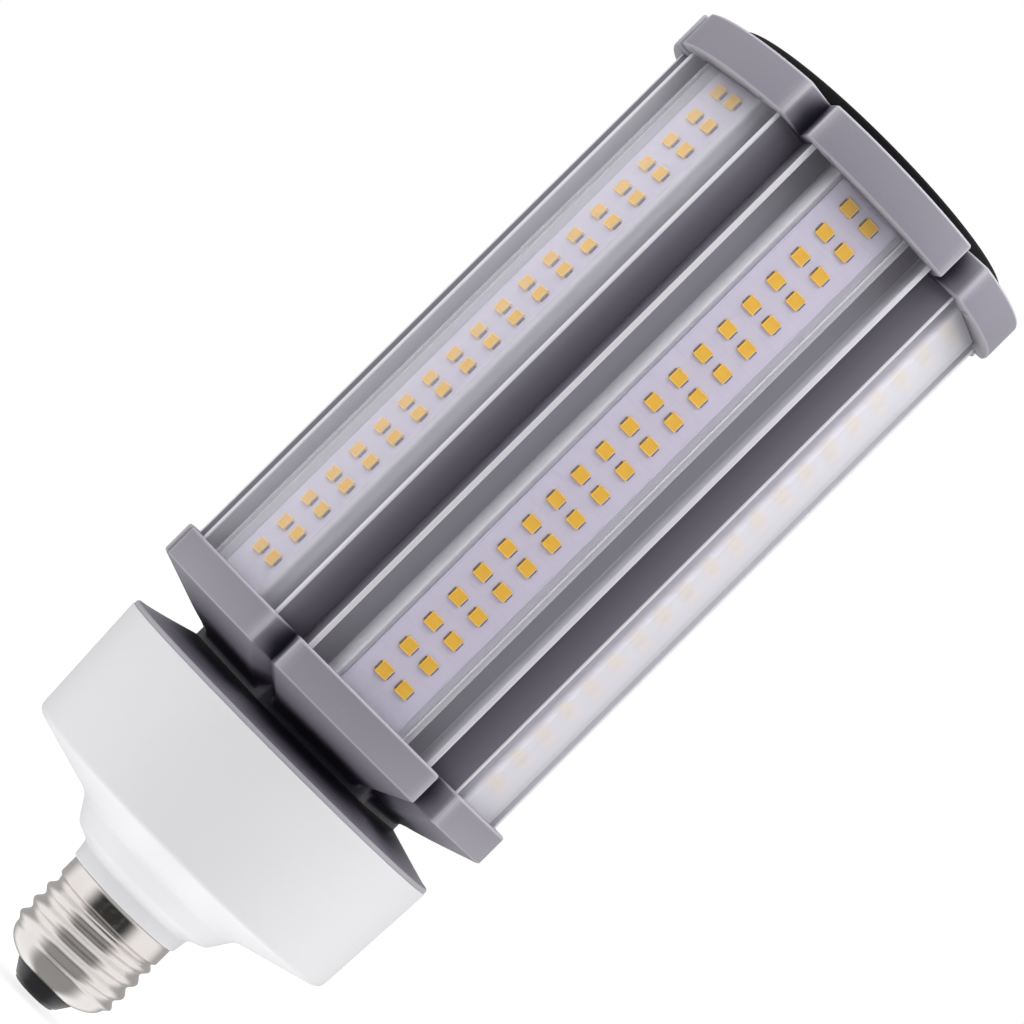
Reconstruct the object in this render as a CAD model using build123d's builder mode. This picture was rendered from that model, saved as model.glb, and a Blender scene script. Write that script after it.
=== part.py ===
from build123d import *
import os
from math import cos, hypot, radians, sin, tan

os.makedirs("parts", exist_ok=True)

# Six-sided LED corn lamp on an Edison screw base. Sizes are in millimetres, Z is the lamp's axis,
# and z = 0 is the plane where the metal screw shell meets the white housing.

# Aluminium strips in a ring: widths lie across a strip, heights point away from the axis
strip_count = 6
strip_half_width = 16.4
strip_gap = 0.2
strip_base = 1.5
fin_thickness = 1.2
fin_height = 8.7
pedestal_half_width = 9.1
pedestal_height = 5.8
pedestal_flange = 1.9
pedestal_wall = 1.5
cover_groove = 0.7
slide_gap = 0.1

# LED boards and the clear covers over them
board_half_width = 7.4
board_thickness = 1.4
led_rows = 20
led_row_pitch = 6.44
led_columns = 2
led_column_pitch = 5.3
led_width = 3.5
led_length = 2.8
led_height = 0.7
first_led_above_cap = 6.65
cover_headroom = 0.5
cover_thickness = 1.1
cover_corner = 1.6

# End caps, and the length of strip that shows between them
strip_visible = 132.1
cap_wall = 2.2
cap_side_wall = 2.0
cap_corner = 0.9
cap_edge = 0.6
lower_cap_height = 7.0
upper_cap_height = 8.4
pocket_depth = 5.7
cap_web = 2.6
hub_bore = 22.0

# Flare and neck under the lower cap
flare_height = 5.4
neck_height = 1.8
neck_apothem = 24.0
neck_round = 27.4
neck_wall = 2.2

# Funnel-shaped cover that closes the drum
funnel_height = 3.4
funnel_lip = 0.9
funnel_lip_inset = 0.2
funnel_wall = 2.0
funnel_foot_inset = 0.7
funnel_skirt_depth = 5.0
funnel_skirt_wall = 1.5

# White driver housing: a drum on a stepped cone, with a spigot that goes into the screw shell
collar_foot_radius = 13.4
collar_radius = 13.9
collar_height = 3.6
shoulder_radius = 17.4
shoulder_height = 1.4
cone_radius = 20.7
cone_height = 5.1
drum_floor_height = 5.1
drum_rim_radius = 39.9
drum_draft = 1.5
drum_height = 27.1
housing_wall = 2.0
spigot_length = 12.0

# Screw shell with its rolled right-hand knuckle thread
thread_radius = 13.08
thread_depth = 1.05
thread_pitch = 3.63
thread_turns = 4.5
thread_end = 3.9
thread_fade = 2.4
thread_foot_gap = 0.6
thread_crest_width = 1.0
skirt_radius = 12.9
skirt_length = 4.0
skirt_step = 0.6
shell_wall = 0.6
shell_length = 21.2
nose_length = 3.0
nose_radius = 7.3

# Insulator and centre contact at the tip
insulator_height = 3.0
insulator_tip_radius = 5.2
insulator_plug = 2.7
contact_radius = 4.9
contact_height = 0.7
contact_edge = 0.3
rivet_radius = 1.2
rivet_head = 1.0

# Black cover on top
top_cover_radius = 35.8
top_cover_rim = 2.7
top_cover_edge = 0.6
top_cover_wall = 1.6
top_cover_plug = 3.0

# Tie rod through the hollow core, with its nut
rod_radius = 2.0
rod_head_width = 7.0
rod_head_height = 2.8
rod_hole_gap = 0.2
rod_end = 1.0
nut_width = 7.0
nut_height = 3.2

# Driver board on its bosses, held by screws
driver_board_gap = 3.5
driver_board_thickness = 1.6
boss_count = 3
boss_height = 3.0
boss_inset = 4.0
boss_radius = 3.0
screw_radius = 1.2
screw_length = 5.0
screw_head_radius = 2.4
screw_head_height = 1.6

# Transformer, capacitors and choke on the driver board
transformer_length = 22.0
transformer_depth = 16.0
transformer_height = 14.0
transformer_core = 5.0
winding_length = 12.0
winding_edge = 2.0
transformer_inset = 10.5
capacitor_radius = 5.0
capacitor_height = 14.5
capacitor_pitch = 12.0
capacitor_inset = 6.0
choke_radius = 4.5
choke_height = 10.0
choke_inset = 9.0

# Wires
lead_radius = 0.7
shell_lead_width = 1.4
shell_lead_thickness = 0.6
lead_bend = 2.5
shell_lead_circle = 7.5
shell_lead_drop = 1.2
strip_lead_width = 2.4
strip_lead_thickness = 1.2
strip_lead_bend = 6.0
strip_lead_circle = 12.0
strip_lead_angle = -90
strip_lead_rise = 5.0
lead_hole_gap = 0.4

# Distances from the axis that follow from the sizes above
half_step = radians(180 / strip_count)
strip_foot = (strip_half_width + strip_gap / 2 / cos(half_step)) / tan(half_step)
strip_back = strip_foot - strip_base
strip_back_half_width = strip_half_width - strip_base * tan(half_step)
fin_inside = strip_half_width - fin_thickness
fin_tip = strip_foot + fin_height
board_seat = strip_foot + pedestal_height
board_face = board_seat + board_thickness
flange_foot = board_seat - pedestal_flange
pedestal_neck = pedestal_half_width - cover_groove
chamber_half_width = pedestal_neck - pedestal_wall
cover_inside = board_face + led_height + cover_headroom
cover_face = cover_inside + cover_thickness
cover_leg_inside = pedestal_half_width + slide_gap
cover_half_width = cover_leg_inside + cover_thickness
cover_hook_top = flange_foot - slide_gap
cover_hook_foot = cover_hook_top - cover_thickness
cover_hook_inside = pedestal_neck + slide_gap
cap_radius = hypot(fin_tip + slide_gap, strip_half_width + slide_gap) + cap_wall
cap_half_width = strip_half_width + slide_gap + cap_side_wall
root_radius = thread_radius - thread_depth
root_inside = root_radius - shell_wall
nose_hole = nose_radius - shell_wall
spigot_radius = root_inside - slide_gap
spigot_bore = spigot_radius - housing_wall
lip_radius = drum_rim_radius - funnel_lip_inset
drum_taper = drum_draft / drum_height
drum_foot_radius = drum_rim_radius - drum_draft
drum_inside = drum_rim_radius - housing_wall
drum_floor_inside = drum_foot_radius + housing_wall * drum_taper - housing_wall
funnel_skirt_radius = drum_inside - slide_gap
funnel_skirt_foot = funnel_skirt_radius - funnel_skirt_depth * drum_taper
funnel_foot_radius = lip_radius - funnel_foot_inset
neck_inside = neck_apothem - neck_wall
flare_middle = (neck_round + cap_radius) / 2
flare_narrowing = neck_apothem / cap_radius
driver_board_radius = drum_floor_inside - driver_board_gap
boss_circle = driver_board_radius - boss_inset
boss_first_angle = 180 / strip_count
capacitor_offset = capacitor_inset - boss_circle
choke_offset = choke_inset - driver_board_radius
transformer_offset = driver_board_radius - transformer_inset
rod_hole = rod_radius + rod_hole_gap
strip_lead_slot = (strip_lead_thickness + lead_hole_gap, strip_lead_width + lead_hole_gap)

# Heights that follow from the sizes above
shoulder_top = collar_height + shoulder_height
cone_top = shoulder_top + cone_height
drum_foot = cone_top + drum_floor_height
drum_floor = drum_foot + housing_wall
drum_rim = drum_foot + drum_height
funnel_foot = drum_rim + funnel_lip
funnel_top = funnel_foot + funnel_height
funnel_web_foot = funnel_top - funnel_wall
flare_foot = funnel_top + neck_height
lower_cap_foot = flare_foot + flare_height
lower_cap_top = lower_cap_foot + lower_cap_height
lower_web_top = lower_cap_foot + cap_web
upper_cap_foot = lower_cap_top + strip_visible
upper_cap_top = upper_cap_foot + upper_cap_height
upper_web_top = upper_cap_foot + cap_web
strip_bottom = lower_cap_top - pocket_depth
strip_length = strip_visible + 2 * pocket_depth
led_middle = lower_cap_top + first_led_above_cap + (led_rows - 1) * led_row_pitch / 2
nose_top = nose_length - shell_length
insulator_top = insulator_plug - shell_length
insulator_foot = -shell_length - insulator_height
contact_tip = insulator_foot - contact_height
rivet_top = insulator_top + rivet_head
driver_board_seat = drum_floor + boss_height
driver_board_top = driver_board_seat + driver_board_thickness
strip_lead_top = lower_cap_top + strip_lead_rise


def save(piece, name):
    """Labels a finished piece and writes it as a STEP file of the same name."""
    piece.part.label = name
    export_step(piece.part, f"parts/{name}.step")


def strip_plane(number, height):
    """Plane across the axis with its X pointing out through a strip; strip 0 faces -Y."""
    turn = 2 * half_step * number - radians(90)
    return Plane(origin=(0, 0, height), x_dir=(cos(turn), sin(turn), 0), z_dir=(0, 0, 1))


def strip_front(number, distance, height):
    """Plane facing out of a strip, at a distance from the axis, with its Y along the lamp."""
    outward = strip_plane(number, height).x_dir
    origin = Vector(0, 0, height) + outward * distance
    return Plane(origin=origin, x_dir=Vector(0, 0, 1).cross(outward), z_dir=outward)


def both_sides(half):
    """Closed outline from its half on the positive side, as (distance from the axis, distance across)."""
    return half + [(out, -across) for out, across in reversed(half)]


def block_points(face, half_width):
    """Outline of six blocks in a ring, one for each strip, with a V notch between neighbours."""
    points = []
    for number in range(strip_count):
        plane = strip_plane(number, 0)
        points.append(plane.from_local_coords((face, -half_width)))
        points.append(plane.from_local_coords((face, half_width)))
        points.append(plane.from_local_coords((half_width / tan(half_step), half_width)))
    return points


def notch_points(number, share):
    """Triangle that fills the notch after a strip, drawn in towards the axis to a share of its place."""
    plane = strip_plane(number + 1 / 2, 0)
    apex = cap_half_width / sin(half_step)
    mouth = cap_radius + cap_wall
    corners = [(apex, 0), (mouth, (mouth - apex) * tan(half_step)), (mouth, (apex - mouth) * tan(half_step))]
    return [plane.from_local_coords((share * out, share * across)) for out, across in corners]


def strip_side(number):
    """Plane that cuts a strip in half along the lamp, with its X pointing out and its Y up."""
    outward = strip_plane(number, 0).x_dir
    return Plane(origin=(0, 0, 0), x_dir=outward, z_dir=outward.cross(Vector(0, 0, 1)))


# Outline of the end caps: a round plate with a V notch between neighbouring strips
with BuildSketch() as cap_outline:
    with BuildLine():
        Polyline(block_points(cap_radius, cap_half_width), close=True)
    make_face()
    Circle(cap_radius, mode=Mode.INTERSECT)
    fillet(cap_outline.vertices().group_by(SortBy.DISTANCE)[-1], radius=cap_corner)

# Section of the pocket that takes the ends of all six strips, with room for the clear covers
with BuildSketch() as strip_pockets:
    with BuildLine():
        Polyline(block_points(fin_tip + slide_gap, strip_half_width + slide_gap), close=True)
    make_face()
    for number in range(strip_count):
        with BuildLine(strip_plane(number, 0)):
            cover_room = cover_half_width + slide_gap
            half_section = [(strip_foot, cover_room), (cover_face + slide_gap, cover_room)]
            Polyline(both_sides(half_section), close=True)
        make_face()
    RegularPolygon(strip_back - slide_gap, strip_count, major_radius=False, mode=Mode.SUBTRACT)

# Screw shell: nickelled sheet, with the thread rolled into it and fading out at both ends
with BuildPart() as screw_shell:
    with BuildLine() as thread_path:
        Helix(
            thread_pitch,
            thread_turns * thread_pitch,
            root_radius,
            center=(0, 0, -thread_end - thread_turns * thread_pitch),
        )
    with BuildSketch(Plane(origin=thread_path.line @ 0, x_dir=(1, 0, 0), z_dir=thread_path.line % 0)):
        with BuildLine():
            Polyline(
                (-shell_wall / 2, (thread_foot_gap - thread_pitch) / 2),
                (thread_depth, -thread_crest_width / 2),
                (thread_depth, thread_crest_width / 2),
                (-shell_wall / 2, (thread_pitch - thread_foot_gap) / 2),
                close=True,
            )
        make_face()
    sweep(is_frenet=True)
    with BuildSketch(Plane.XZ):
        with BuildLine():
            Polyline(
                (0, -skirt_length),
                (root_radius - shell_wall / 4, -skirt_length),
                (thread_radius + shell_wall, -skirt_length - thread_fade),
                (thread_radius + shell_wall, nose_top + thread_fade),
                (root_radius - shell_wall / 4, nose_top),
                (0, nose_top),
                close=True,
            )
        make_face()
    revolve(axis=Axis.Z, mode=Mode.INTERSECT)
    with BuildSketch(Plane.XZ):
        with BuildLine():
            Polyline(
                (root_inside, 0),
                (skirt_radius, 0),
                (skirt_radius, -skirt_length),
                (root_radius, -skirt_length - skirt_step),
                (root_radius, nose_top),
                (nose_radius, -shell_length),
                (nose_hole, -shell_length),
                (root_inside, nose_top),
                close=True,
            )
        make_face()
    revolve(axis=Axis.Z)
save(screw_shell, "screw_shell")

# Insulator: black glass cone whose plug fills the hole in the shell's nose
with BuildPart() as base_insulator:
    with BuildSketch(Plane.XZ):
        with BuildLine():
            Polyline(
                (rivet_radius + slide_gap, insulator_foot),
                (insulator_tip_radius, insulator_foot),
                (nose_radius, -shell_length),
                (nose_hole - slide_gap, -shell_length),
                (nose_hole - slide_gap, insulator_top),
                (rivet_radius + slide_gap, insulator_top),
                close=True,
            )
        make_face()
    revolve(axis=Axis.Z)
save(base_insulator, "base_insulator")

# Centre contact: flat disc with a rivet stem through the insulator
with BuildPart() as centre_contact:
    with BuildSketch(Plane.XY.offset(contact_tip)):
        Circle(contact_radius)
    extrude(amount=contact_height)
    chamfer(centre_contact.edges().sort_by(Axis.Z)[0], length=contact_edge)
    with BuildSketch(Plane.XY.offset(insulator_foot)):
        Circle(rivet_radius)
    extrude(amount=rivet_top - insulator_foot)
save(centre_contact, "centre_contact")

# Driver housing: one white moulding, hollow, with three bosses for the driver board
with BuildPart() as driver_housing:
    with BuildSketch(Plane.XZ):
        with BuildLine():
            Polyline(
                (collar_foot_radius, 0),
                (collar_radius, collar_height),
                (shoulder_radius, shoulder_top),
                (cone_radius, cone_top),
                (drum_foot_radius, drum_foot),
                (drum_rim_radius, drum_rim),
                (drum_inside, drum_rim),
                (drum_floor_inside, drum_floor),
                (spigot_bore, drum_floor),
                (spigot_bore, -spigot_length),
                (spigot_radius, -spigot_length),
                (spigot_radius, 0),
                close=True,
            )
        make_face()
    revolve(axis=Axis.Z)
    with BuildSketch(Plane.XY.offset(drum_floor)):
        with PolarLocations(boss_circle, boss_count, boss_first_angle):
            Circle(boss_radius)
    extrude(amount=boss_height)
    with BuildSketch(Plane.XY.offset(driver_board_seat)):
        with PolarLocations(boss_circle, boss_count, boss_first_angle):
            Circle(screw_radius)
    extrude(amount=driver_board_thickness - screw_length, mode=Mode.SUBTRACT)
save(driver_housing, "driver_housing")

# Funnel cover: grey moulding on the drum's rim, running up from a round foot to the six-sided neck
with BuildPart() as funnel_cover:
    with BuildSketch(Plane.XZ):
        with BuildLine():
            Polyline(
                (0, funnel_top),
                (neck_round, funnel_top),
                (funnel_foot_radius, funnel_foot),
                (lip_radius, funnel_foot),
                (lip_radius, drum_rim),
                (funnel_skirt_radius, drum_rim),
                (funnel_skirt_foot, drum_rim - funnel_skirt_depth),
                (funnel_skirt_foot - funnel_skirt_wall, drum_rim - funnel_skirt_depth),
                (neck_inside, funnel_web_foot),
                (0, funnel_web_foot),
                close=True,
            )
        make_face()
    revolve(axis=Axis.Z)
    for number in range(strip_count):
        with BuildSketch(strip_side(number)):
            with BuildLine():
                Polyline(
                    (neck_apothem, funnel_top),
                    (lip_radius, funnel_foot),
                    (lip_radius, funnel_top),
                    close=True,
                )
            make_face()
        extrude(amount=lip_radius, both=True, mode=Mode.SUBTRACT)
    with BuildSketch(Plane.XY.offset(funnel_top)):
        Circle(rod_hole)
        with PolarLocations(strip_lead_circle, strip_count, strip_lead_angle):
            Rectangle(*strip_lead_slot)
    extrude(amount=-funnel_wall, mode=Mode.SUBTRACT)
save(funnel_cover, "funnel_cover")

# Lower cap: grey moulding with a block for each strip. Each block slopes in to a six-sided neck, and the
# notch between two blocks runs on down the slope as a groove.
with BuildPart() as lower_cap:
    with BuildSketch(Plane.XY.offset(funnel_top)):
        add(cap_outline.sketch)
    extrude(amount=lower_cap_top - funnel_top)
    chamfer(lower_cap.edges().group_by(Axis.Z)[-1], length=cap_edge)
    with BuildSketch(Plane.XZ):
        with BuildLine():
            Polyline(
                (neck_round, funnel_top),
                (neck_round, flare_foot),
                (cap_radius, lower_cap_foot),
                (cap_radius + cap_wall, lower_cap_foot),
                (cap_radius + cap_wall, funnel_top),
                close=True,
            )
        make_face()
    revolve(axis=Axis.Z, mode=Mode.SUBTRACT)
    for number in range(strip_count):
        with BuildSketch(strip_side(number)):
            with BuildLine():
                Polyline(
                    (neck_apothem, funnel_top),
                    (neck_apothem, flare_foot),
                    (flare_middle, flare_foot + flare_height / 2),
                    (flare_middle, funnel_top),
                    close=True,
                )
            make_face()
        extrude(amount=cap_radius, both=True, mode=Mode.SUBTRACT)
    for number in range(strip_count):
        for height, share in ((lower_cap_foot, 1), (flare_foot, flare_narrowing)):
            with BuildSketch(Plane.XY.offset(height)):
                with BuildLine():
                    Polyline(notch_points(number, share), close=True)
                make_face()
        loft(mode=Mode.SUBTRACT)
    with BuildSketch(Plane.XY.offset(funnel_top)):
        RegularPolygon(neck_apothem, strip_count, major_radius=False)
        Circle(neck_round, mode=Mode.INTERSECT)
    extrude(amount=lower_cap_foot - funnel_top)
    with BuildSketch(Plane.XY.offset(lower_cap_top)):
        add(strip_pockets.sketch)
    extrude(amount=-pocket_depth, mode=Mode.SUBTRACT)
    with BuildSketch(Plane.XY.offset(lower_cap_top)):
        Circle(hub_bore)
    extrude(amount=lower_web_top - lower_cap_top, mode=Mode.SUBTRACT)
    with BuildSketch(Plane.XY.offset(funnel_top)):
        Circle(neck_inside)
    extrude(amount=lower_cap_foot - funnel_top, mode=Mode.SUBTRACT)
    with BuildSketch(Plane.XY.offset(lower_cap_foot)):
        Circle(rod_hole)
        with PolarLocations(strip_lead_circle, strip_count, strip_lead_angle):
            Rectangle(*strip_lead_slot)
    extrude(amount=cap_web, mode=Mode.SUBTRACT)
save(lower_cap, "lower_cap")

# Upper cap: the same ring of blocks, with the pockets below and the hub recess above
with BuildPart() as upper_cap:
    with BuildSketch(Plane.XY.offset(upper_cap_foot)):
        add(cap_outline.sketch)
    extrude(amount=upper_cap_height)
    upper_edges = upper_cap.edges().group_by(Axis.Z)
    chamfer(upper_edges[0] + upper_edges[-1], length=cap_edge)
    with BuildSketch(Plane.XY.offset(upper_cap_foot)):
        add(strip_pockets.sketch)
    extrude(amount=pocket_depth, mode=Mode.SUBTRACT)
    with BuildSketch(Plane.XY.offset(upper_cap_top)):
        Circle(hub_bore)
    extrude(amount=upper_web_top - upper_cap_top, mode=Mode.SUBTRACT)
    with BuildSketch(Plane.XY.offset(upper_cap_foot)):
        Circle(rod_hole)
    extrude(amount=cap_web, mode=Mode.SUBTRACT)
save(upper_cap, "upper_cap")

# Top cover: black disc that plugs into the upper cap's hub
with BuildPart() as top_cover:
    with BuildSketch(Plane.XZ):
        rim_top = upper_cap_top + top_cover_rim
        plug_radius = hub_bore - slide_gap
        with BuildLine():
            Polyline(
                (0, rim_top),
                (top_cover_radius - top_cover_edge, rim_top),
                (top_cover_radius, rim_top - top_cover_edge),
                (top_cover_radius, upper_cap_top),
                (plug_radius, upper_cap_top),
                (plug_radius, upper_cap_top - top_cover_plug),
                (plug_radius - top_cover_wall, upper_cap_top - top_cover_plug),
                (plug_radius - top_cover_wall, rim_top - top_cover_wall),
                (0, rim_top - top_cover_wall),
                close=True,
            )
        make_face()
    revolve(axis=Axis.Z)
save(top_cover, "top_cover")

# Aluminium strips: hollow pedestal for the board between two fins, feet mitred to the neighbours
for number in range(strip_count):
    with BuildPart() as fin_profile:
        with BuildSketch(strip_plane(number, strip_bottom)):
            with BuildLine():
                half_section = [
                    (strip_back, strip_back_half_width),
                    (strip_foot, strip_half_width),
                    (fin_tip, strip_half_width),
                    (fin_tip, fin_inside),
                    (strip_foot, fin_inside),
                    (strip_foot, pedestal_neck),
                    (flange_foot, pedestal_neck),
                    (flange_foot, pedestal_half_width),
                    (board_seat, pedestal_half_width),
                ]
                Polyline(both_sides(half_section), close=True)
            make_face()
            with Locations(((strip_foot + flange_foot) / 2, 0)):
                Rectangle(flange_foot - strip_foot, 2 * chamber_half_width, mode=Mode.SUBTRACT)
        extrude(amount=strip_length)
        with BuildSketch(strip_front(number, 0, strip_lead_top)):
            Rectangle(*reversed(strip_lead_slot))
        extrude(amount=board_seat, mode=Mode.SUBTRACT)
    save(fin_profile, f"fin_profile_{number + 1}")

# LED boards, flat on the pedestals
for number in range(strip_count):
    with BuildPart() as led_board:
        with BuildSketch(strip_front(number, board_seat, strip_bottom + strip_length / 2)):
            Rectangle(2 * board_half_width, strip_length)
        extrude(amount=board_thickness)
    save(led_board, f"led_board_{number + 1}")

# LEDs: two columns of flat packages on each board
for number in range(strip_count):
    with BuildPart() as leds:
        with BuildSketch(strip_front(number, board_face, led_middle)):
            with GridLocations(led_column_pitch, led_row_pitch, led_columns, led_rows):
                Rectangle(led_width, led_length)
        extrude(amount=led_height)
    save(leds, f"leds_{number + 1}")

# Clear covers: U sections that hook under the pedestal's flange
for number in range(strip_count):
    with BuildPart() as clear_cover:
        with BuildSketch(strip_plane(number, strip_bottom)) as cover_section:
            with BuildLine():
                half_section = [
                    (cover_inside, cover_leg_inside),
                    (cover_hook_top, cover_leg_inside),
                    (cover_hook_top, cover_hook_inside),
                    (cover_hook_foot, cover_hook_inside),
                    (cover_hook_foot, cover_half_width),
                    (cover_face, cover_half_width),
                ]
                Polyline(both_sides(half_section), close=True)
            make_face()
            fillet(cover_section.vertices().group_by(Axis.X)[-1], radius=cover_corner)
        extrude(amount=strip_length)
    save(clear_cover, f"clear_cover_{number + 1}")

# Tie rod: holds the funnel cover, the caps and the strips together, with its head in the drum
with BuildPart() as tie_rod:
    with BuildSketch(Plane.XY.offset(funnel_web_foot)):
        RegularPolygon(rod_head_width / 2, 6, major_radius=False)
    extrude(amount=-rod_head_height)
    with BuildSketch(Plane.XY.offset(funnel_web_foot)):
        Circle(rod_radius)
    extrude(amount=upper_web_top + nut_height + rod_end - funnel_web_foot)
save(tie_rod, "tie_rod")

# Nut on the upper cap's web
with BuildPart() as tie_nut:
    with BuildSketch(Plane.XY.offset(upper_web_top)):
        RegularPolygon(nut_width / 2, 6, major_radius=False)
        Circle(rod_radius + slide_gap, mode=Mode.SUBTRACT)
    extrude(amount=nut_height)
save(tie_nut, "tie_nut")

# Driver board: round, on the housing's bosses
with BuildPart() as driver_board:
    with BuildSketch(Plane.XY.offset(driver_board_seat)):
        Circle(driver_board_radius)
        with PolarLocations(boss_circle, boss_count, boss_first_angle):
            Circle(screw_radius + slide_gap, mode=Mode.SUBTRACT)
    extrude(amount=driver_board_thickness)
save(driver_board, "driver_board")

# Screws that hold the driver board down
with BuildPart() as driver_screws:
    with BuildSketch(Plane.XY.offset(driver_board_top)):
        with PolarLocations(boss_circle, boss_count, boss_first_angle):
            Circle(screw_head_radius)
    extrude(amount=screw_head_height)
    with BuildSketch(Plane.XY.offset(driver_board_top)):
        with PolarLocations(boss_circle, boss_count, boss_first_angle):
            Circle(screw_radius - slide_gap)
    extrude(amount=-screw_length)
save(driver_screws, "driver_screws")

# Transformer: ferrite core with the winding around it
with BuildPart() as transformer:
    with BuildSketch(Plane.XY.offset(driver_board_top)):
        with Locations((0, transformer_offset)):
            Rectangle(transformer_length, transformer_core)
            Rectangle(winding_length, transformer_depth)
    extrude(amount=transformer_height)
    fillet(transformer.edges().filter_by(Axis.X).group_by(Axis.Z)[-1], radius=winding_edge)
save(transformer, "transformer")

# Electrolytic capacitors, standing on the board
with BuildPart() as bulk_capacitors:
    with BuildSketch(Plane.XY.offset(driver_board_top)):
        with Locations((0, capacitor_offset)):
            with GridLocations(capacitor_pitch, capacitor_pitch, 2, 1):
                Circle(capacitor_radius)
    extrude(amount=capacitor_height)
save(bulk_capacitors, "bulk_capacitors")

# Filter choke: sleeved coil, standing on the board
with BuildPart() as filter_choke:
    with BuildSketch(Plane.XY.offset(driver_board_top)):
        with Locations((choke_offset, 0)):
            Circle(choke_radius)
    extrude(amount=choke_height)
save(filter_choke, "filter_choke")

# Lead from the centre contact, straight up the axis to the board
with BuildPart() as contact_lead:
    with BuildSketch(Plane.XY.offset(rivet_top)):
        Circle(lead_radius)
    extrude(amount=driver_board_seat - rivet_top)
save(contact_lead, "contact_lead")

# Lead from the shell's wall: a flat strip under the end of the spigot and up to the board
with BuildPart() as shell_lead:
    lead_foot = -spigot_length - shell_lead_drop
    with BuildLine() as shell_lead_path:
        FilletPolyline(
            (root_inside - slide_gap, 0, lead_foot),
            (shell_lead_circle, 0, lead_foot),
            (shell_lead_circle, 0, driver_board_seat),
            radius=lead_bend,
        )
    lead_start = shell_lead_path.line @ 0
    with BuildSketch(Plane(lead_start, x_dir=(0, 1, 0), z_dir=shell_lead_path.line % 0)):
        Rectangle(shell_lead_width, shell_lead_thickness)
    sweep()
save(shell_lead, "shell_lead")

# Flat two-core leads from the driver board up the core, each bent out to the back of its LED board
with BuildPart() as strip_leads:
    for number in range(strip_count):
        outward = strip_plane(number, 0).x_dir
        with BuildLine() as strip_lead_path:
            FilletPolyline(
                outward * strip_lead_circle + Vector(0, 0, driver_board_top),
                outward * strip_lead_circle + Vector(0, 0, strip_lead_top),
                outward * board_seat + Vector(0, 0, strip_lead_top),
                radius=strip_lead_bend,
            )
        with BuildSketch(Plane(origin=strip_lead_path.line @ 0, x_dir=outward, z_dir=(0, 0, 1))):
            Rectangle(strip_lead_thickness, strip_lead_width)
        sweep(path=strip_lead_path.line)
save(strip_leads, "strip_leads")
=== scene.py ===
from math import asin, atan2, copysign, cos, exp, hypot, log, pi, radians, sin, sqrt, tan, tau

import bmesh
import bpy
from mathutils import Matrix, Vector
from mathutils.geometry import tessellate_polygon


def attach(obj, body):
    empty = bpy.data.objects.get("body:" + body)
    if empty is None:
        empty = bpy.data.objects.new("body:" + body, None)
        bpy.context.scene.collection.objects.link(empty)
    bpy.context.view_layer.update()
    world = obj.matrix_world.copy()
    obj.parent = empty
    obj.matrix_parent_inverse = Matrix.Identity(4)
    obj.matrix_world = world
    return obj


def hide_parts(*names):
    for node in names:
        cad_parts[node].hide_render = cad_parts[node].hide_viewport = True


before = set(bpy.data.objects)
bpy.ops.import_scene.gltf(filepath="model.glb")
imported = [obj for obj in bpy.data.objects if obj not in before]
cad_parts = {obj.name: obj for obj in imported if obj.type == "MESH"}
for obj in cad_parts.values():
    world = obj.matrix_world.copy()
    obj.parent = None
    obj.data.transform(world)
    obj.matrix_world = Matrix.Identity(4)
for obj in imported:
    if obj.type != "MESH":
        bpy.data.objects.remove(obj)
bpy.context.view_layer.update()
scene = bpy.context.scene

# Screw shell: thin nickelled brass sheet, drawn to a cup and rolled to a round right-hand thread,
# with a plain skirt above it and a round nose below. It is crimped to the housing's spigot.
# The lamp's sizes are in millimetres here and below, and MM takes them to metres.
MM = 0.001
TURN_STEPS = 96
skirt_radius = 12.9
skirt_length = 4.0
skirt_edge = 0.15
skirt_step = 0.9
skirt_hold = 0.9
thread_crest = 13.08
thread_root = 12.03
thread_pitch = 3.63
thread_crest_height = -5.715
thread_start = -3.6
thread_top_fade = (-4.2, -6.0)
thread_foot_fade = (-17.6, -16.2)
thread_rows = 56
nose_top = -17.0
nose_bend = (11.7, -19.7)
nose_foot = (7.3, -21.2)
shell_wall = 0.6


def smooth_step(start, end, value):
    """Goes from 0 at start to 1 at end, level at both."""
    share = min(max((value - start) / (end - start), 0.0), 1.0)
    return share * share * (3.0 - 2.0 * share)


def bend(start, corner, end, steps):
    """Points of the curve that leaves start towards corner and comes to end from it."""
    points = []
    for step in range(steps + 1):
        t = step / steps
        before, middle, after = (1 - t) ** 2, 2 * t * (1 - t), t * t
        points.append(tuple(before * a + middle * b + after * c for a, b, c in zip(start, corner, end)))
    return points


def shell_radius(height, angle):
    """Outside radius of the rolled shell between its skirt and its nose."""
    turn = (height - thread_crest_height) / thread_pitch - angle / tau
    wave = 0.5 + 0.5 * cos(tau * turn)
    fade = smooth_step(*thread_top_fade, height) * smooth_step(*thread_foot_fade, height)
    skirt = smooth_step(-skirt_length - skirt_step, -skirt_length, height)
    return thread_root + (thread_crest - thread_root) * wave * fade + (skirt_radius - thread_root) * skirt


def ring(radius, height, steps=TURN_STEPS):
    """Level circle about the axis."""
    points = []
    for step in range(steps):
        angle = tau * step / steps
        points.append((radius * cos(angle), radius * sin(angle), height))
    return points


def finish_mesh(name, points, faces, smooth_angle):
    """Makes a closed mesh from points in millimetres, with doubles merged and faces pointing out."""
    mesh = bpy.data.meshes.new(name)
    mesh.from_pydata([(x * MM, y * MM, z * MM) for x, y, z in points], [], faces)
    work = bmesh.new()
    work.from_mesh(mesh)
    bmesh.ops.remove_doubles(work, verts=work.verts, dist=1e-6)
    bmesh.ops.recalc_face_normals(work, faces=work.faces)
    work.to_mesh(mesh)
    work.free()
    mesh.shade_smooth()
    mesh.set_sharp_from_angle(angle=radians(smooth_angle))
    return mesh


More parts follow.
